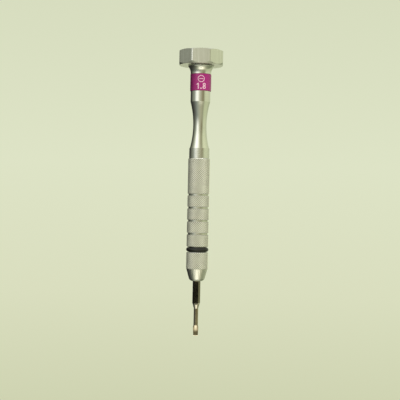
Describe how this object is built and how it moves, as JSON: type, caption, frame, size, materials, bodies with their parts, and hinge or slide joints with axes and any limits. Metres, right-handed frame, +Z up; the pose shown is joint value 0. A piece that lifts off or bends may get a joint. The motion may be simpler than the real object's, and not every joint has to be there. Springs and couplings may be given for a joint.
{
  "type": "watchmaker screwdriver",
  "caption": "Slotted precision screwdriver with a swivelling octagonal head, waisted neck with a size ring, knurled hollow barrel and a collet chuck.",
  "frame": {"origin": "middle of the blade's end face, on the tool's axis", "axes": "+Z up the tool's axis from blade to head, -Y the front, which a flat of the head and a ground face of the blade look towards, +X to the right seen from the front"},
  "size_m": [0.0162, 0.0162, 0.1063],
  "materials": {
    "knurled_aluminium": "knurled, matt chrome",
    "polished_aluminium": "polished",
    "brushed_aluminium": "brushed",
    "blade_steel": "dark, finely ground",
    "machined_steel": "turned",
    "bearing_steel": "polished",
    "cage_brass": "pressed",
    "black_rubber": "smooth",
    "purple_plastic": "glossy"
  },
  "bodies": {
    "handle": {"barrel": "knurled_aluminium", "chuck_body": "machined_steel", "blade_stop": "machined_steel", "grip_ring": "black_rubber", "spare_blade": "blade_steel"},
    "neck_seal": {"neck_o_ring": "black_rubber"},
    "neck": {"neck": "polished_aluminium", "size_ring": "purple_plastic", "spindle_screw": "machined_steel", "spindle_washer": "machined_steel", "bearing_inner_race": "bearing_steel"},
    "head": {"swivel_head": "brushed_aluminium", "head_cap": "polished_aluminium", "bearing_outer_race": "bearing_steel", "lower_shield": "machined_steel", "upper_shield": "machined_steel", "retaining_clip": "machined_steel"},
    "cage": {"ball_cage": "cage_brass", "bearing_balls": "bearing_steel"},
    "collet": {"collet": "machined_steel"},
    "nut": {"chuck_nut": "knurled_aluminium"},
    "blade": {"blade": "blade_steel"}
  },
  "joints": [
    {"name": "neck_lift", "type": "slide", "parent": "handle", "child": "neck_seal", "axis": [0, 0, 1], "range_m": [0, 0.004]},
    {"name": "neck_turn", "type": "hinge", "parent": "neck_seal", "child": "neck", "pos_m": [0, 0, 0.064], "axis": [0, 0, 1], "range_deg": [0, 2880]},
    {"name": "head_spin", "type": "hinge", "parent": "neck", "child": "head", "pos_m": [0, 0, 0.103], "axis": [0, 0, 1], "continuous": true},
    {"name": "cage_orbit", "type": "hinge", "parent": "neck", "child": "cage", "pos_m": [0, 0, 0.103], "axis": [0, 0, 1], "continuous": true},
    {"name": "collet_draw", "type": "slide", "parent": "handle", "child": "collet", "axis": [0, 0, -1], "range_m": [0, 0.004]},
    {"name": "nut_turn", "type": "hinge", "parent": "collet", "child": "nut", "pos_m": [0, 0, 0.026], "axis": [0, 0, -1], "range_deg": [0, 2880]},
    {"name": "blade_pull", "type": "slide", "parent": "collet", "child": "blade", "axis": [0, 0, -1], "range_m": [0, 0.011]}
  ],
  "couplings": [
    {"joint": "neck_turn", "follows": "neck_lift", "rad_per_m": 12566},
    {"joint": "cage_orbit", "follows": "head_spin", "ratio": 0.63636},
    {"joint": "nut_turn", "follows": "collet_draw", "rad_per_m": 12566}
  ]
}
